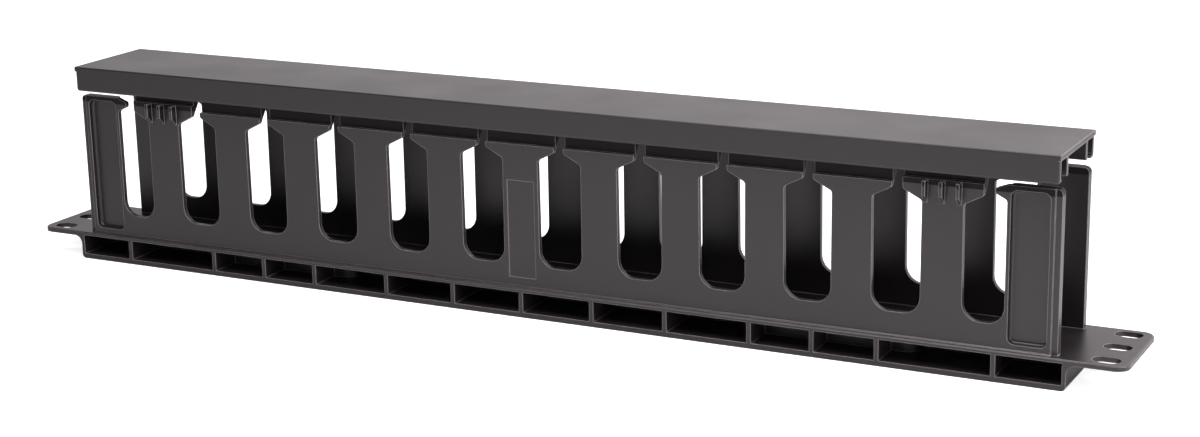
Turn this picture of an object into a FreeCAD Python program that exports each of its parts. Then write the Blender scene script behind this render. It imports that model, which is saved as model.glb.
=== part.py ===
"""Horizontal cable manager for a 19-inch rack: a moulded finger duct with a clip-on cover.

The duct is one moulding: a one-unit flange with slotted ears, a ribbed base under it and two
rows of flexible fingers on top. The cover is a second moulding that snaps over the finger tips.

Frame: X along the rack, Y from the front row of fingers to the back row, Z up from the
underside of the base. The origin is the middle of that underside. Sizes are in millimetres.
"""

import FreeCAD
import Part
import Sketcher
import math
import os

NEXT_TO = 0.01
START, END, CENTRE = 1, 2, 3

SIZES = {
    # flange: the rack's own panel, one unit high, with three slots in each ear
    "flange_length": 482.6,
    "flange_depth": 43.7,
    "flange_thickness": 2.0,
    "flange_corner": 5.0,
    "flange_bevel": 0.4,
    "hole_columns": 465.1,
    "hole_pitch": 15.875,
    "hole_length": 10.4,
    "hole_width": 6.8,
    # base: a low box under the flange, open at the front and the back between its ribs
    "base_length": 439.4,
    "base_height": 11.9,
    "base_bottom": 2.2,
    "base_roof": 1.5,
    "base_corner": 1.8,
    "base_end_wall": 1.5,
    "ear_fillet": 3.5,
    "rib_thickness": 1.8,
    "rib_one": 31.3,
    "rib_two": 62.8,
    "rib_three": 97.9,
    "rib_four": 123.2,
    "rib_five": 148.8,
    "rib_six": 193.0,
    # two windows through the base, each with a collar of its own
    "window_place": 123.3,
    "window_length": 70.5,
    "window_depth": 13.2,
    "window_corner": 4.5,
    "collar_wall": 1.5,
    # walls and fingers; heights are above the flange
    "walls_apart": 39.4,
    "wall_thickness": 2.0,
    "wall_foot_bevel": 0.6,
    "finger_count": 11,
    "finger_pitch": 34.47,
    "stem_foot": 15.9,
    "stem_neck": 15.5,
    "slot_floor": 9.25,
    "slot_corner": 6.5,
    "neck_height": 52.2,
    "neck_round": 1.5,
    "wing_height": 56.0,
    "wing_bevel": 0.5,
    "head_width": 30.3,
    "ledge_height": 58.1,
    "ledge_step": 1.7,
    "wedge_start": 56.8,
    "wedge_end": 61.0,
    "head_depth": 5.0,
    "head_top": 71.5,
    "head_lead": 1.5,
    "barb_flat": 1.0,
    "barb_lead": 2.0,
    # the mark of a mould insert, bare, on the front of the middle finger
    "mark_width": 11.8,
    "mark_low": 4.0,
    "mark_high": 43.5,
    "mark_depth": 0.15,
    # end columns
    "walls_length": 431.4,
    "column_width": 19.7,
    "column_height": 61.0,
    "column_depth": 4.2,
    "column_step": 1.0,
    "column_inner_bevel": 1.0,
    "column_round": 2.0,
    "end_step_width": 2.4,
    "end_step": 0.8,
    "nose_reach": 4.35,
    "nose_foot": 55.3,
    "nose_low": 57.5,
    "nose_high": 59.4,
    "nose_round": 0.85,
    "tray_rim": 1.35,
    "tray_end_rim": 4.0,
    "tray_top_rim": 1.8,
    "tray_foot": 2.4,
    "tray_sink": 2.6,
    "tray_corner": 2.5,
    "tray_round": 1.2,
    # grips on the first and the last finger
    "grip_top": 60.45,
    "grip_pitch": 6.35,
    "grip_width": 1.3,
    "grip_low": 51.8,
    "grip_high": 60.2,
    "ramp_land": 0.1,
    # cover and its fit on the heads
    "cover_length": 430.4,
    "cover_lip": 0.4,
    "cover_plate": 2.0,
    "cover_round": 0.5,
    "skirt_height": 10.5,
    "skirt_thickness": 2.0,
    "skirt_round": 1.2,
    "skirt_edge_round": 0.8,
    "inner_rib_height": 7.2,
    "inner_rib_thickness": 1.8,
    "bead_reach": 0.8,
    "bead_place": 0.3,
    "bead_height": 1.6,
    "skirt_gap": 1.0,
    "seat_gap": 0.3,
    "snap_gap": 0.3,
    "rib_gap": 1.2,
}

# sizes that follow from the ones above
DERIVED = {
    "hole_straight": "hole_length - hole_width",
    "wall_outer": "walls_apart / 2",
    "wall_inner": "wall_outer - wall_thickness",
    "column_inner": "wall_outer - column_depth",
    "column_edge": "walls_length / 2 - column_width",
    "ledge_face": "wall_outer - ledge_step",
    "head_inner": "wall_outer - head_depth",
    "fingers_reach": "(finger_count - 1) / 2 * finger_pitch",
    "heads_length": "2 * fingers_reach + head_width",
    "nose_tip": "column_edge - nose_reach",
    "mark_middle": "finger_pitch * mod(finger_count - 1; 2) / 2",
    "skirt_inner": "wall_outer + skirt_gap",
    "skirt_outer": "skirt_inner + skirt_thickness",
    "barb_tip": "skirt_inner - bead_reach - snap_gap",
    "barb_rise": "barb_tip - ledge_face",
    "rib_outer": "head_inner - rib_gap",
    "rib_inner": "rib_outer - inner_rib_thickness",
    "cover_under": "base_height + head_top + seat_gap",
    "cover_top": "cover_under + cover_plate",
    "skirt_low": "cover_top - skirt_height",
    "bead_tip": "skirt_inner - bead_reach",
    "bead_low": "skirt_low + bead_place",
    "bead_top": "bead_low + bead_height",
    "barb_low": "bead_top + snap_gap",
}


def make_sheet(doc):
    """Fill the spreadsheet: plain numbers first, then the sizes that follow from them."""
    sheet = doc.addObject("Spreadsheet::Sheet", "sizes")
    for row, (name, value) in enumerate({**SIZES, **DERIVED}.items(), start=1):
        derived = isinstance(value, str)
        sheet.set(f"A{row}", name)
        sheet.set(f"B{row}", f"={value}" if derived else str(value))
        sheet.setAlias(f"B{row}", name)
        doc.recompute()
    return sheet


def named(expression):
    """Point each size named in an expression at its cell of the sheet."""
    words = []
    for word in expression.split():
        core = word.strip("()-")
        known = core in SIZES or core in DERIVED
        words.append(word.replace(core, f"<<sizes>>.{core}") if known else word)
    return " ".join(words)


def number(obj, expression):
    """The present value of an expression in the sheet's sizes."""
    value = obj.evalExpression(named(expression))
    return float(getattr(value, "Value", value))


def bind(obj, **expressions):
    """Tie properties of a feature to the sheet."""
    for prop, expression in expressions.items():
        obj.setExpression(prop, named(expression))


def origin_plane(body, role):
    """One of a body's own origin planes or axes."""
    return next(f for f in body.Origin.OriginFeatures if f.Role == role)


def make_body(doc, name):
    body = doc.addObject("PartDesign::Body", name)
    body.Label = name
    return body


def new_sketch(body, name, plane, offset=None):
    """A sketch on an origin plane, moved along that plane's normal by an expression."""
    sketch = body.newObject("Sketcher::SketchObject", name)
    sketch.AttachmentSupport = [(origin_plane(body, plane), "")]
    sketch.MapMode = "FlatFace"
    if offset:
        sketch.setExpression("AttachmentOffset.Base.z", named(offset))
    return sketch


def place_point(sketch, geometry, point, *expressions):
    """Hold one point of a sketch at a pair of expressions from the origin."""
    for kind, expression in zip(("DistanceX", "DistanceY"), expressions):
        value = number(sketch, expression)
        index = sketch.addConstraint(Sketcher.Constraint(kind, -1, 1, geometry, point, value))
        sketch.setExpression(f"Constraints[{index}]", named(expression))


def add_outline(sketch, corners):
    """Close a loop of straight edges; each corner is a pair of expressions from the origin."""
    points = [FreeCAD.Vector(number(sketch, a), number(sketch, b), 0) for a, b in corners]
    first = sketch.GeometryCount
    count = len(points)
    for i in range(count):
        sketch.addGeometry(Part.LineSegment(points[i], points[(i + 1) % count]), False)
    for i in range(count):
        following = first + (i + 1) % count
        sketch.addConstraint(Sketcher.Constraint("Coincident", first + i, END, following, START))
    for i, corner in enumerate(corners):
        place_point(sketch, first + i, START, *corner)


def add_box_outline(sketch, left, right, low, high):
    add_outline(sketch, [(left, low), (right, low), (right, high), (left, high)])


def mirrored(corners, first_sign="-", second_sign=""):
    """The same corners on the other side of an axis."""
    def flip(expression, sign):
        return f"-( {expression} )" if sign else expression
    return [(flip(a, first_sign), flip(b, second_sign)) for a, b in corners]


def add_pair(sketch, corners):
    """An outline and its mirror image across the sketch's vertical axis."""
    add_outline(sketch, corners)
    add_outline(sketch, mirrored(corners))


def pad(body, sketch, length, midplane=False):
    feature = body.newObject("PartDesign::Pad", sketch.Name + "_pad")
    feature.Profile = sketch
    bind(feature, Length=length)
    feature.Midplane = midplane
    sketch.Visibility = False
    body.Document.recompute()
    return feature


def cut_through(body, sketch):
    """Pocket a sketch through everything on both sides of its plane."""
    feature = body.newObject("PartDesign::Pocket", sketch.Name + "_cut")
    feature.Profile = sketch
    feature.Type = "ThroughAll"
    feature.Midplane = True
    body.Document.recompute()
    check_removed(body, feature)
    return feature


def cut_length(body, sketch, length, midplane=True, reversed_=False):
    feature = body.newObject("PartDesign::Pocket", sketch.Name + "_cut")
    feature.Profile = sketch
    bind(feature, Length=length)
    feature.Midplane = midplane
    feature.Reversed = reversed_
    body.Document.recompute()
    check_removed(body, feature)
    return feature


def check_removed(body, feature):
    """A pocket that points away from the solid removes nothing and says nothing."""
    before = feature.BaseFeature.Shape.Volume
    if not feature.Shape.Volume < before - NEXT_TO:
        raise RuntimeError(f"{body.Label}: {feature.Name} cuts nothing")


def find_edges(feature, test):
    """Names of the edges whose two ends and middle pass a test on the edge."""
    return [f"Edge{i}" for i, edge in enumerate(feature.Shape.Edges, start=1) if test(edge)]


def runs_along(edge, axis):
    """True for a straight edge parallel to an axis: 0, 1 or 2 for X, Y or Z."""
    if edge.Curve.TypeId != "Part::GeomLine":
        return False
    direction = edge.Curve.Direction
    return abs(abs(direction[axis]) - 1) < 1e-6


def near(value, target):
    return abs(value - target) < NEXT_TO


def round_edges(body, name, edges, radius):
    """Fillet the named edges of the body's tip with a size of the sheet."""
    if not edges:
        raise RuntimeError(f"{body.Label}: no edges for {name}")
    feature = body.newObject("PartDesign::Fillet", name)
    feature.Base = (feature.BaseFeature, edges)
    bind(feature, Radius=radius)
    body.Document.recompute()
    return feature


def bevel_edges(body, name, edges, size):
    """Chamfer the named edges of the body's tip at 45 degrees with an expression."""
    if not edges:
        raise RuntimeError(f"{body.Label}: no edges for {name}")
    feature = body.newObject("PartDesign::Chamfer", name)
    feature.Base = (feature.BaseFeature, edges)
    bind(feature, Size=size)
    body.Document.recompute()
    return feature


def tip_edges(body, test):
    return find_edges(body.Tip, test)


# ---------------------------------------------------------------- the duct: flange and base


def flange(body):
    """The rack panel: a flat plate with rounded corners, its top at the height of the base."""
    sketch = new_sketch(body, "flange", "XY_Plane", "base_height - flange_thickness")
    half_x, half_y = "flange_length / 2", "flange_depth / 2"
    add_box_outline(sketch, f"-( {half_x} )", half_x, f"-( {half_y} )", half_y)
    pad(body, sketch, "flange_thickness")
    corners = tip_edges(body, lambda e: runs_along(e, 2))
    round_edges(body, "flange_corners", corners, "flange_corner")


def base_box(body):
    """The solid of the base, its fillets under the ears and its rounded lower ends."""
    sketch = new_sketch(body, "base", "XY_Plane")
    half_x, half_y = "base_length / 2", "flange_depth / 2"
    add_box_outline(sketch, f"-( {half_x} )", half_x, f"-( {half_y} )", half_y)
    pad(body, sketch, "base_height")
    end = number(sketch, half_x)
    under = number(sketch, "base_height - flange_thickness")

    def at_end(edge, height):
        centre = edge.CenterOfMass
        return runs_along(edge, 1) and near(abs(centre.x), end) and near(centre.z, height)

    round_edges(body, "ear_fillets", tip_edges(body, lambda e: at_end(e, under)), "ear_fillet")
    round_edges(body, "base_ends", tip_edges(body, lambda e: at_end(e, 0)), "base_corner")


def flange_rim(body):
    """Ease the upper rim of the flange, all the way round."""
    side, top = number(body.Tip, "flange_depth / 2"), number(body.Tip, "base_height")

    def rim(edge):
        centre = edge.CenterOfMass
        return runs_along(edge, 0) and near(abs(centre.y), side) and near(centre.z, top)

    bevel_edges(body, "flange_rim", tip_edges(body, rim), "flange_bevel")


def base_cells(body):
    """Fourteen cells between the cross ribs, open at the front and the back."""
    sketch = new_sketch(body, "cells", "XZ_Plane")
    low, high = "base_bottom", "base_height - base_roof"
    half = "rib_thickness / 2"
    stations = ["rib_one", "rib_two", "rib_three", "rib_four", "rib_five", "rib_six"]
    starts = [half] + [f"{station} + {half}" for station in stations]
    ends = [f"{station} - {half}" for station in stations] + ["base_length / 2 - base_end_wall"]
    for start, end in zip(starts, ends):
        add_pair(sketch, [(start, low), (end, low), (end, high), (start, high)])
    cut_through(body, sketch)


def window_outline(sketch, margin):
    """Both windows, grown on every side by an expression."""
    near_end = f"window_place - window_length / 2 - {margin}"
    far_end = f"window_place + window_length / 2 + {margin}"
    side = f"window_depth / 2 + {margin}"
    corners = [(near_end, f"-( {side} )"), (far_end, f"-( {side} )"), (far_end, side), (near_end, side)]
    add_pair(sketch, corners)


def upright_corners(body, ends, side):
    """Upright edges at given distances from the two middle planes."""
    def test(edge):
        centre = edge.CenterOfMass
        at_x = any(near(abs(centre.x), end) for end in ends)
        return runs_along(edge, 2) and at_x and near(abs(centre.y), side)
    return tip_edges(body, test)


def base_windows(body):
    """Two windows for cables through the base, each inside a collar that closes the cells."""
    collars = new_sketch(body, "collars", "XY_Plane")
    window_outline(collars, "collar_wall")
    pad(body, collars, "base_height")
    windows = new_sketch(body, "windows", "XY_Plane")
    window_outline(windows, "0")
    cut_through(body, windows)
    for name, margin, radius in (
        ("window_corners", "0", "window_corner"),
        ("collar_corners", "collar_wall", "window_corner + collar_wall"),
    ):
        reach = number(windows, f"window_length / 2 + {margin}")
        middle = number(windows, "window_place")
        side = number(windows, f"window_depth / 2 + {margin}")
        edges = upright_corners(body, [middle - reach, middle + reach], side)
        round_edges(body, name, edges, radius)


def add_slot(sketch, column, row, straight, width):
    """A slot along the sketch's first axis: two round ends joined by two tangent sides."""
    middle, height = number(sketch, column), number(sketch, row)
    reach, radius = number(sketch, straight) / 2, number(sketch, width) / 2
    first = sketch.GeometryCount
    for side, start in ((1, -math.pi / 2), (-1, math.pi / 2)):
        circle = Part.Circle(FreeCAD.Vector(middle + side * reach, height, 0), FreeCAD.Vector(0, 0, 1), radius)
        sketch.addGeometry(Part.ArcOfCircle(circle, start, start + math.pi), False)
    right, left, top, bottom = first, first + 1, first + 2, first + 3
    for level in (height + radius, height - radius):
        ends = [FreeCAD.Vector(middle + side * reach, level, 0) for side in (1, -1)]
        sketch.addGeometry(Part.LineSegment(*ends), False)
    for arc, arc_end, line, line_end in (
        (right, END, top, START),
        (top, END, left, START),
        (left, END, bottom, END),
        (bottom, START, right, START),
    ):
        sketch.addConstraint(Sketcher.Constraint("Tangent", arc, arc_end, line, line_end))
    sketch.addConstraint(Sketcher.Constraint("Equal", right, left))
    for side, arc in (("+", right), ("-", left)):
        place_point(sketch, arc, CENTRE, f"{column} {side} {straight} / 2", row)
    index = sketch.addConstraint(Sketcher.Constraint("Radius", right, radius))
    sketch.setExpression(f"Constraints[{index}]", named(f"{width} / 2"))


def ear_slots(body):
    """Three slots in each ear, on the rack's hole spacing."""
    sketch = new_sketch(body, "ear_slots", "XY_Plane")
    for side in ("-1", "1"):
        for row in ("-1", "0", "1"):
            add_slot(sketch, f"{side} * hole_columns / 2", f"{row} * hole_pitch", "hole_straight", "hole_width")
    cut_through(body, sketch)


# ---------------------------------------------------------------- the duct: walls and fingers


def wall_section():
    """Section of a finger, from its foot up the outside and down the inside."""
    def above(height):
        return f"base_height + {height}"
    return [
        ("wall_outer", "base_height - base_roof"),
        ("wall_outer", above("ledge_height")),
        ("ledge_face", above("ledge_height")),
        ("ledge_face", "barb_low - barb_rise / 2"),
        ("barb_tip", "barb_low"),
        ("barb_tip", "barb_low + barb_flat"),
        ("ledge_face", "barb_low + barb_flat + barb_lead"),
        ("ledge_face", above("head_top - head_lead")),
        ("ledge_face - head_lead / 2", above("head_top")),
        ("head_inner + head_lead / 2", above("head_top")),
        ("head_inner", above("head_top - head_lead")),
        ("head_inner", above("wedge_end")),
        ("wall_inner", above("wedge_start")),
        ("wall_inner", "base_height - base_roof"),
    ]


def finger_walls(body):
    """Two walls with the section of the fingers, as long as the row of heads."""
    sketch = new_sketch(body, "finger_walls", "YZ_Plane")
    add_pair(sketch, wall_section())
    pad(body, sketch, "heads_length", midplane=True)


def end_columns(body):
    """The ends of the walls, still solid across the duct, with rounded tops."""
    sketch = new_sketch(body, "end_columns", "XZ_Plane")
    inner, outer = "heads_length / 2", "walls_length / 2"
    low, high = "base_height - base_roof", "base_height + column_height"
    add_pair(sketch, [(inner, low), (outer, low), (outer, high), (inner, high)])
    pad(body, sketch, "walls_apart", midplane=True)
    tops = across_at(body, [(number(sketch, outer), number(sketch, high))])
    round_edges(body, "column_tops", tops, "column_round")


def grips(body):
    """Full-height heads and three grip ribs on the first and the last finger."""
    blocks = new_sketch(body, "grip_heads", "XZ_Plane")
    low, high = "base_height - base_roof", "base_height + grip_top"
    near_side, far_side = "fingers_reach - head_width / 2", "fingers_reach + head_width / 2"
    add_pair(blocks, [(near_side, low), (far_side, low), (far_side, high), (near_side, high)])
    pad(body, blocks, "walls_apart", midplane=True)

    ribs = new_sketch(body, "grip_ribs", "XZ_Plane")
    low, high = "base_height + grip_low", "base_height + grip_high"
    for place in ("-1", "0", "1"):
        middle = f"fingers_reach + {place} * grip_pitch"
        left, right = f"{middle} - grip_width / 2", f"{middle} + grip_width / 2"
        add_pair(ribs, [(left, low), (right, low), (right, high), (left, high)])
    pad(body, ribs, "2 * skirt_outer", midplane=True)
    foot, outer = number(ribs, low), number(ribs, "skirt_outer")

    def rib_foot(edge):
        centre = edge.CenterOfMass
        return runs_along(edge, 0) and near(centre.z, foot) and near(abs(centre.y), outer)

    bevel_edges(body, "grip_ramps", tip_edges(body, rib_foot), "skirt_outer - wall_outer - ramp_land")


def channel(body):
    """Hollow the columns and the grip heads to the duct's channel."""
    top = "base_height + head_top"
    for name, side, length in (
        ("channel", "column_inner", "walls_length + wall_thickness"),
        ("channel_middle", "wall_inner", "2 * ( column_edge + column_step )"),
    ):
        sketch = new_sketch(body, name, "YZ_Plane")
        add_box_outline(sketch, f"-( {side} )", side, "base_height", top)
        cut_length(body, sketch, length)
    step = number(sketch, "column_edge + column_step")
    edges = upright_corners(body, [step], number(sketch, "column_inner"))
    bevel_edges(body, "column_inner_edges", edges, "column_inner_bevel")


def wall_feet(body):
    """A small bevel where the outer faces of the walls stand on the flange."""
    side, foot = number(body.Tip, "wall_outer"), number(body.Tip, "base_height")

    def at_foot(edge):
        centre = edge.CenterOfMass
        return runs_along(edge, 0) and near(abs(centre.y), side) and near(centre.z, foot)

    bevel_edges(body, "wall_feet", tip_edges(body, at_foot), "wall_foot_bevel")


def insert_mark(body):
    """The shallow mark a mould insert leaves on the front of the middle finger."""
    sketch = new_sketch(body, "insert_mark", "XZ_Plane", "wall_outer")
    left, right = "mark_middle - mark_width / 2", "mark_middle + mark_width / 2"
    add_box_outline(sketch, left, right, "base_height + mark_low", "base_height + mark_high")
    cut_length(body, sketch, "mark_depth", midplane=False)


def finger_slots(body):
    """The slots between the fingers, cut through both walls at once."""
    sketch = new_sketch(body, "slot", "XZ_Plane")
    middle = "-( fingers_reach - finger_pitch / 2 )"
    foot = "( finger_pitch - stem_foot ) / 2"
    neck = "( finger_pitch - stem_neck ) / 2"
    mouth = "( finger_pitch - head_width ) / 2"
    levels = [
        (foot, "slot_floor"),
        (neck, "neck_height"),
        (mouth, "wing_height"),
        (mouth, "head_top + 1"),
    ]
    right = [(f"{middle} + {half}", f"base_height + {level}") for half, level in levels]
    left = [(f"{middle} - {half}", f"base_height + {level}") for half, level in reversed(levels)]
    add_outline(sketch, right + left)
    slot = cut_through(body, sketch)

    row = body.newObject("PartDesign::LinearPattern", "slot_row")
    row.Originals = [slot]
    row.Direction = (origin_plane(body, "X_Axis"), [""])
    bind(row, Length="( finger_count - 2 ) * finger_pitch", Occurrences="finger_count - 1")
    body.Tip = row
    body.Document.recompute()


def end_slot_outline():
    """The slot between the last finger and the column, with the column's nose at its mouth."""
    def above(height):
        return f"base_height + {height}"
    return [
        ("fingers_reach + stem_foot / 2", above("slot_floor")),
        ("column_edge", above("slot_floor")),
        ("column_edge", above("nose_foot")),
        ("nose_tip", above("nose_low")),
        ("nose_tip", above("nose_high")),
        ("column_edge", above("column_height")),
        ("column_edge", above("head_top + 1")),
        ("fingers_reach + head_width / 2", above("head_top + 1")),
        ("fingers_reach + head_width / 2", above("wing_height")),
        ("fingers_reach + stem_neck / 2", above("neck_height")),
    ]


def end_slots(body):
    sketch = new_sketch(body, "end_slots", "XZ_Plane")
    add_pair(sketch, end_slot_outline())
    cut_through(body, sketch)


def across_at(body, points):
    """Edges that run across the duct at given places of the front view."""
    def test(edge):
        centre = edge.CenterOfMass
        return runs_along(edge, 1) and any(near(abs(centre.x), x) and near(centre.z, z) for x, z in points)
    return tip_edges(body, test)


def slot_rounds(body):
    """Round slot floors, necks and noses, and ease the tips of the fingers' wings."""
    def value(expression):
        return number(body.Tip, expression)

    count = int(value("finger_count"))
    fingers = [(i - (count - 1) / 2) * value("finger_pitch") for i in range(count)]
    floor = value("base_height + slot_floor")
    neck = value("base_height + neck_height")
    floor_edges = [(abs(x + s * value("stem_foot / 2")), floor) for x in fingers for s in (-1, 1)]
    floor_edges.append((value("column_edge"), floor))
    round_edges(body, "slot_floors", across_at(body, floor_edges), "slot_corner")
    necks = [(abs(x + s * value("stem_neck / 2")), neck) for x in fingers for s in (-1, 1)]
    round_edges(body, "necks", across_at(body, necks), "neck_round")
    wing = value("base_height + wing_height")
    wings = [(abs(x + s * value("head_width / 2")), wing) for x in fingers for s in (-1, 1)]
    bevel_edges(body, "wing_tips", across_at(body, wings), "wing_bevel")
    tips = [(value("nose_tip"), value(f"base_height + {z}")) for z in ("nose_low", "nose_high")]
    round_edges(body, "nose_tips", across_at(body, tips), "nose_round")
    root = [(value("column_edge"), value("base_height + nose_foot"))]
    round_edges(body, "nose_roots", across_at(body, root), "neck_round")


def sink_column_faces(body, name, sides, levels, depth):
    """Sink a box of the front view into the outer faces of all four columns."""
    (left, right), (low, high) = sides, levels
    sketch = new_sketch(body, name, "XZ_Plane", "wall_outer")
    add_pair(sketch, [(left, low), (right, low), (right, high), (left, high)])
    cut = cut_length(body, sketch, depth, midplane=False)
    other = body.newObject("PartDesign::Mirrored", "back_" + name)
    other.Originals = [cut]
    other.MirrorPlane = (origin_plane(body, "XZ_Plane"), [""])
    body.Tip = other
    body.Document.recompute()
    return sketch


def end_steps(body):
    """A narrow strip at the duct's ends, set back from the columns' outer faces."""
    sides = ("walls_length / 2 - end_step_width", "walls_length / 2")
    sink_column_faces(body, "end_steps", sides, ("base_height", "base_height + column_height"), "end_step")


def column_trays(body):
    """A shallow tray in the outer face of each column, with a filleted floor."""
    left, right = "column_edge + tray_rim", "walls_length / 2 - tray_end_rim"
    levels = ("base_height + tray_foot", "base_height + column_height - tray_top_rim")
    sketch = sink_column_faces(body, "trays", (left, right), levels, "tray_sink")
    ends = [number(sketch, left), number(sketch, right)]
    floor = number(sketch, "wall_outer - tray_sink")
    middle = number(sketch, "wall_outer - tray_sink / 2")

    def corner(edge):
        centre = edge.CenterOfMass
        return runs_along(edge, 1) and near(abs(centre.y), middle) and ends[0] - 1 < abs(centre.x) < ends[1] + 1

    round_edges(body, "tray_corners", tip_edges(body, corner), "tray_corner")

    def rim(edge):
        box = edge.BoundBox
        flat = near(box.YMin, box.YMax)
        return flat and near(abs(box.YMin), floor) and ends[0] - 1 < abs(edge.CenterOfMass.x) < ends[1] + 1

    round_edges(body, "tray_floors", tip_edges(body, rim), "tray_round")


def finger_duct(doc):
    body = make_body(doc, "finger_duct")
    flange(body)
    base_box(body)
    flange_rim(body)
    base_cells(body)
    ear_slots(body)
    end_columns(body)
    end_steps(body)
    column_trays(body)
    grips(body)
    channel(body)
    base_windows(body)
    finger_walls(body)
    wall_feet(body)
    insert_mark(body)
    finger_slots(body)
    end_slots(body)
    slot_rounds(body)
    return body


# ---------------------------------------------------------------- the cover


def cover_half_section():
    """Half of the cover's section: skirt, snap bead, channel for the heads, inner rib."""
    rib_low = "cover_under - inner_rib_height"
    return [
        ("0", "cover_under"),
        ("rib_inner", "cover_under"),
        ("rib_inner", rib_low),
        ("rib_outer", rib_low),
        ("rib_outer", "cover_under"),
        ("skirt_inner", "cover_under"),
        ("skirt_inner", "bead_top"),
        ("bead_tip", "bead_low + bead_height / 2"),
        ("skirt_inner", "bead_low"),
        ("skirt_inner", "skirt_low"),
        ("skirt_outer", "skirt_low"),
        ("skirt_outer", "cover_top"),
        ("0", "cover_top"),
    ]


def cover(doc):
    """The clip-on cover: a channel with its ends open and a plate that laps its skirts."""
    body = make_body(doc, "cover")
    sketch = new_sketch(body, "cover_section", "YZ_Plane")
    half = cover_half_section()
    add_outline(sketch, half[1:-1] + list(reversed(mirrored(half[1:-1]))))
    pad(body, sketch, "cover_length", midplane=True)
    plate = new_sketch(body, "cover_plate_section", "YZ_Plane")
    add_box_outline(plate, "-( skirt_outer )", "skirt_outer", "cover_under", "cover_top")
    pad(body, plate, "cover_length + 2 * cover_lip", midplane=True)

    outer = number(plate, "skirt_outer")
    top, low = number(plate, "cover_top"), number(plate, "skirt_low")
    end = number(plate, "cover_length / 2")

    def skirt_end(edge):
        centre = edge.CenterOfMass
        return runs_along(edge, 1) and near(abs(centre.x), end) and near(centre.z, low)

    def long_edge(edge, height):
        centre = edge.CenterOfMass
        return runs_along(edge, 0) and near(abs(centre.y), outer) and near(centre.z, height)

    round_edges(body, "skirt_ends", tip_edges(body, skirt_end), "skirt_round")
    round_edges(body, "top_edges", tip_edges(body, lambda e: long_edge(e, top)), "cover_round")
    round_edges(body, "skirt_edges", tip_edges(body, lambda e: long_edge(e, low)), "skirt_edge_round")
    return body


def check(doc, bodies):
    """Stop before writing anything if a feature failed or a piece isn't one good solid."""
    for obj in doc.Objects:
        if "Invalid" in obj.State or "Error" in obj.State:
            raise RuntimeError(f"{obj.Name} failed: {obj.State}")
    for body in bodies:
        shape = body.Shape
        if shape.isNull() or not shape.isValid() or len(shape.Solids) != 1:
            raise RuntimeError(f"{body.Label} is not one valid solid")


def build():
    doc = FreeCAD.newDocument("cable_manager")
    make_sheet(doc)
    bodies = [finger_duct(doc), cover(doc)]
    doc.recompute()
    check(doc, bodies)
    os.makedirs("parts", exist_ok=True)
    for body in bodies:
        body.Shape.exportStep(f"parts/{body.Label}.step")
        box = body.Shape.BoundBox
        print(body.Label, round(body.Shape.Volume), box)


build()
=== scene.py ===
import math

import bmesh
import bpy
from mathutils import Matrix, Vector


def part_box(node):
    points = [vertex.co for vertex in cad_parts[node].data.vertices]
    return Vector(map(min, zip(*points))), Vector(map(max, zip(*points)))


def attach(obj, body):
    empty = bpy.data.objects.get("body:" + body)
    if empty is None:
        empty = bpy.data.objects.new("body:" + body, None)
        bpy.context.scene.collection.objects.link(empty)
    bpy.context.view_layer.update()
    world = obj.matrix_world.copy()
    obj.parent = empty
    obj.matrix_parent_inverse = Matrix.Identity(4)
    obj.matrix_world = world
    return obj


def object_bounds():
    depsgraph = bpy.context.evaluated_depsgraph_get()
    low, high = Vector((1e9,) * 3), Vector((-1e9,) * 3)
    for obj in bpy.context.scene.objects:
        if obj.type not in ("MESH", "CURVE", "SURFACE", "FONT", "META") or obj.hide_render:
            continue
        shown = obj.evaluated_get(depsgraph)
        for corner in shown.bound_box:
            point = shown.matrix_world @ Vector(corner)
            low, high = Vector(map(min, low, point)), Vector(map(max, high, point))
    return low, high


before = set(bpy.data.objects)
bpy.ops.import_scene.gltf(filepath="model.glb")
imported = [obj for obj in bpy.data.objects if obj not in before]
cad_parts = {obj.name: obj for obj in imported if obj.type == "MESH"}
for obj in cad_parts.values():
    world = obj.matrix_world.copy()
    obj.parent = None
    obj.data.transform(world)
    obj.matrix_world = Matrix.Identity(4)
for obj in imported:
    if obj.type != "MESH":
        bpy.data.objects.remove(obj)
cad_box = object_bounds()

# ---------------------------------------------------------------- finger duct
# The rack panel, the ribbed base and both rows of fingers are one moulding of black ABS. It
# leaves its spark-eroded mould with a fine satin grain, and it is screwed to the rack through
# the slots in its two ears.


def linear(hex_colour):
    """An sRGB hex colour as the linear RGBA that shader sockets take."""
    channels = [int(hex_colour[i:i + 2], 16) / 255 for i in (1, 3, 5)]
    bent = [c / 12.92 if c <= 0.04045 else ((c + 0.055) / 1.055) ** 2.4 for c in channels]
    return (*bent, 1.0)


def add_node(tree, kind, settings=None, **links):
    """Add a node, set its properties and its sockets, and link the sockets given an output."""
    node = tree.nodes.new(kind)
    for name, value in (settings or {}).items():
        setattr(node, name, value)
    for name, value in links.items():
        key = int(name[1:]) if name[1:].isdigit() else name.replace("_", " ")
        socket = node.inputs[key]
        if isinstance(value, bpy.types.NodeSocket):
            tree.links.new(value, socket)
        else:
            socket.default_value = value
    return node


MM = 0.001


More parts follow.
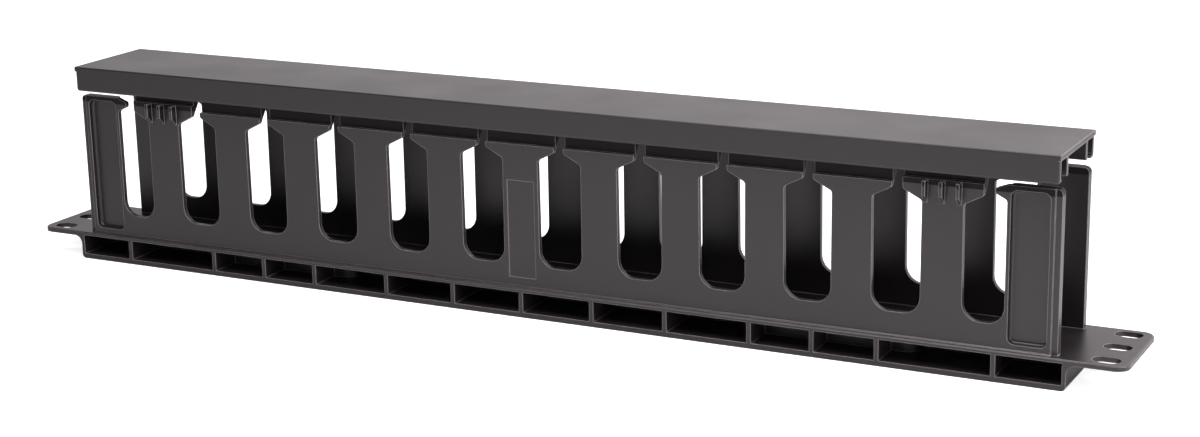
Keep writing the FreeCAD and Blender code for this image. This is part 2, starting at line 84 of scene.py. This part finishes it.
def moulded_abs(name, deep, pale, gloss, painted_shade_above=None):
    """Black ABS from a spark-eroded mould: satin, faintly mottled, with a pale highlight painted along
    its edges.

    deep and pale are the two ends of the colour's drift; gloss is the mean roughness. Above the height
    given last, the plastic's reflection is cut to next to nothing: painted shade for the shadow that
    falls there."""
    material = bpy.data.materials.new(name)
    material.use_nodes = True
    tree = material.node_tree
    tree.nodes.clear()
    place = add_node(tree, "ShaderNodeTexCoord").outputs["Object"]

    # melt that cooled unevenly: drifts of tone some 40 mm across
    flow_size = 40 * MM
    flow = add_node(
        tree, "ShaderNodeTexNoise", Vector=place, Scale=1 / flow_size, Detail=3.0, Roughness=0.55
    ).outputs["Fac"]
    body = add_node(
        tree, "ShaderNodeMix", {"data_type": "RGBA"}, _0=flow, _6=linear(deep), _7=linear(pale)
    ).outputs[2]

    # corners are shaded as if rounded by half a millimetre, and a pale highlight is painted along them
    corner = add_node(tree, "ShaderNodeBevel", {"samples": 6}, Radius=0.5 * MM).outputs["Normal"]
    flat = add_node(tree, "ShaderNodeNewGeometry").outputs["Normal"]
    facing = add_node(
        tree, "ShaderNodeVectorMath", {"operation": "DOT_PRODUCT"}, _0=corner, _1=flat
    ).outputs["Value"]
    painted_edge_highlight = add_node(
        tree, "ShaderNodeMapRange", Value=facing, From_Min=0.99, From_Max=0.85, To_Min=0.0, To_Max=1.0
    ).outputs["Result"]
    # painted highlight: the corners are mixed towards pale grey, standing in for light caught on rounded
    # edges
    colour = add_node(
        tree, "ShaderNodeMix", {"data_type": "RGBA"}, _0=painted_edge_highlight, _6=body, _7=linear("#989495")
    ).outputs[2]

    # the grain is 0.1 mm in the mould; it is drawn at 0.4 mm so that it shows
    grain = add_node(
        tree, "ShaderNodeTexNoise", Vector=place, Scale=1 / (0.4 * MM), Detail=2.0
    ).outputs["Fac"]
    bump = add_node(
        tree, "ShaderNodeBump", Strength=0.10, Distance=0.02 * MM, Height=grain, Normal=corner
    ).outputs["Normal"]
    polish = add_node(
        tree, "ShaderNodeMapRange", Value=flow, From_Min=0.3, From_Max=0.7,
        To_Min=gloss - 0.04, To_Max=gloss + 0.04
    ).outputs["Result"]

    shine = 0.5
    # painted shade: above this height the reflection falls from 0.5 to 0.06, darkening what lies under
    # the cover
    if painted_shade_above is not None:
        height = add_node(tree, "ShaderNodeSeparateXYZ", Vector=place).outputs["Z"]
        shine = add_node(
            tree, "ShaderNodeMapRange", Value=height, From_Min=painted_shade_above, From_Max=painted_shade_above + 0.2 * MM,
            To_Min=0.5, To_Max=0.06
        ).outputs["Result"]
    plastic = add_node(
        tree, "ShaderNodeBsdfPrincipled", Base_Color=colour, Roughness=polish, Normal=bump, IOR=1.56,
        Specular_IOR_Level=shine
    )
    add_node(tree, "ShaderNodeOutputMaterial", Surface=plastic.outputs["BSDF"])
    return material


def dress(node_name, material):
    """Give a moulded piece its material in every slot of its mesh."""
    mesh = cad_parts[node_name].data
    mesh.materials.clear()
    mesh.materials.append(material)


# satin black, a little warm, with the mottling of thin moulded walls; the heads are guessed to
# be matt from just above their ledges, 5.1 mm under the foot of the cover's skirts
# # under the foot of the cover's skirts, the heads get painted shade: their reflection is cut, as the
# cover's shadow would darken them
painted_shade_drop = 5.1 * MM
skirt_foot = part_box("cover")[0][2]
duct_abs = moulded_abs(
    "black_abs_spark_eroded", "#1d1a1b", "#252223", 0.36, painted_shade_above=skirt_foot - painted_shade_drop
)
dress("finger_duct", duct_abs)

# ---------------------------------------------------------------- base web
# An upright web of the same black ABS is taken to close the base beside its collars, halfway
# from front to back. It is a guess: it would be moulded with the duct, whose solid leaves it out.


def web_slab(name, left, right, low, high, thickness):
    """A thin upright slab along the duct with eased edges."""
    mesh = bpy.data.meshes.new(name)
    shape = bmesh.new()
    bmesh.ops.create_cube(shape, size=1.0)
    bmesh.ops.scale(shape, vec=(right - left, thickness, high - low), verts=shape.verts)
    bmesh.ops.translate(shape, vec=((left + right) / 2, 0, (low + high) / 2), verts=shape.verts)
    bmesh.ops.bevel(shape, geom=shape.edges, offset=0.25 * MM, segments=2, affect="EDGES")
    shape.to_mesh(mesh)
    shape.free()
    slab = bpy.data.objects.new(name, mesh)
    bpy.context.scene.collection.objects.link(slab)
    mesh.materials.append(duct_abs)
    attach(slab, "duct")


base_floor, base_roof = 2.1 * MM, 10.5 * MM
collar_ends = 87 * MM, 159.6 * MM
base_end = 218.5 * MM
web_thickness = 1.6 * MM
for name, left, right in (
    ("base_web_left", -base_end, -collar_ends[1]),
    ("base_web_middle", -collar_ends[0], collar_ends[0]),
    ("base_web_right", collar_ends[1], base_end),
):
    web_slab(name, left, right, base_floor, base_roof, web_thickness)

# ---------------------------------------------------------------- cover
# The cover is a second moulding of the same black ABS, a long channel that clips over the
# finger heads. Its top is one broad flat face, a shade smoother than the duct's walls.

cover_abs = moulded_abs("black_abs_fine_satin", "#1b1819", "#222020", 0.34)
dress("cover", cover_abs)

# ---------------------------------------------------------------- room
# The floor is a sheet of matt white paper under the duct, and the walls of the room are white
# too, so that the black plastic has something pale to mirror.

floor_mesh = bpy.data.meshes.new("paper_floor")
reach = 6.0
floor_mesh.from_pydata(
    [(-reach, -reach, 0), (reach, -reach, 0), (reach, reach, 0), (-reach, reach, 0)], [], [(0, 1, 2, 3)]
)
floor = bpy.data.objects.new("paper_floor", floor_mesh)
floor.location.z = cad_box[0][2]
bpy.context.scene.collection.objects.link(floor)

# the sheet is overexposed: the camera sees it nearly white, with a faint shadow left in it
paper = bpy.data.materials.new("matt_white_paper")
paper.use_nodes = True
paper_tree = paper.node_tree
paper_tree.nodes.clear()
sheet = add_node(paper_tree, "ShaderNodeBsdfDiffuse", Color=linear("#f4f4f4"))
seen_sheet = add_node(paper_tree, "ShaderNodeLightPath").outputs["Is Camera Ray"]
burnt = add_node(paper_tree, "ShaderNodeMath", {"operation": "MULTIPLY"}, _0=seen_sheet, _1=0.72)
glow = add_node(paper_tree, "ShaderNodeEmission", Color=(1.0, 1.0, 1.0, 1.0), Strength=burnt.outputs[0])
lit = add_node(paper_tree, "ShaderNodeAddShader", _0=sheet.outputs[0], _1=glow.outputs[0])
add_node(paper_tree, "ShaderNodeOutputMaterial", Surface=lit.outputs[0])
floor_mesh.materials.append(paper)

# the room's walls: palest behind the duct and to its right, dimmer in front of its left end
world = bpy.data.worlds.new("white_room")
bpy.context.scene.world = world
world.use_nodes = True
room = world.node_tree
room.nodes.clear()
toward = add_node(room, "ShaderNodeTexCoord").outputs["Generated"]
bright_side = add_node(
    room, "ShaderNodeVectorMath", {"operation": "DOT_PRODUCT"}, _0=toward, _1=(0.65, 0.75, -0.25)
).outputs["Value"]
level = add_node(
    room, "ShaderNodeMapRange", Value=bright_side, From_Min=-0.9, From_Max=0.6, To_Min=0.06, To_Max=1.18
).outputs["Result"]
seen = add_node(room, "ShaderNodeLightPath").outputs["Is Camera Ray"]
walls = add_node(room, "ShaderNodeBackground", Color=linear("#fff9fa"), Strength=level)
backdrop = add_node(room, "ShaderNodeBackground", Color=(1.0, 1.0, 1.0, 1.0), Strength=1.05)
view = add_node(room, "ShaderNodeMixShader", _0=seen, _1=walls.outputs[0], _2=backdrop.outputs[0])
add_node(room, "ShaderNodeOutputWorld", Surface=view.outputs[0])


def softbox(name, place, target, size, power):
    """A rectangular studio light, aimed at a point."""
    lamp = bpy.data.lights.new(name, "AREA")
    lamp.shape = "RECTANGLE"
    lamp.size, lamp.size_y = size
    lamp.energy = power
    lamp.color = linear("#fff9fa")[:3]
    holder = bpy.data.objects.new(name, lamp)
    holder.location = place
    aim = Vector(target) - Vector(place)
    holder.rotation_euler = aim.to_track_quat("-Z", "Y").to_euler()
    bpy.context.scene.collection.objects.link(holder)


softbox("overhead_softbox", (0.1, 0.25, 1.4), (0.0, 0.0, 0.05), (1.8, 1.2), 5.0)
softbox("front_strip", (0.16, -0.12, 0.36), (0.14, -0.08, 0.0), (0.75, 0.1), 1.7)
softbox("right_softbox", (1.0, -0.1, 0.35), (0.2, 0.0, 0.03), (0.6, 0.5), 4.5)

# ---------------------------------------------------------------- camera
# A short tele lens stands to the right of the duct's middle and a little above it.

lens = bpy.data.cameras.new("camera")
lens.sensor_fit = "HORIZONTAL"
lens.sensor_width = 36.0
lens.lens = 67.98
lens.shift_x = 0.0018
lens.shift_y = -0.0016
lens.clip_start = 0.05
camera = bpy.data.objects.new("camera", lens)
flange_top = 0.0119
camera.location = (0.42016, -0.77181, 0.25722 + flange_top)
camera.rotation_euler = [math.radians(angle) for angle in (75.118, 1.040, 26.906)]
bpy.context.scene.collection.objects.link(camera)
bpy.context.scene.camera = camera

scene = bpy.context.scene
scene.view_settings.view_transform = "Standard"
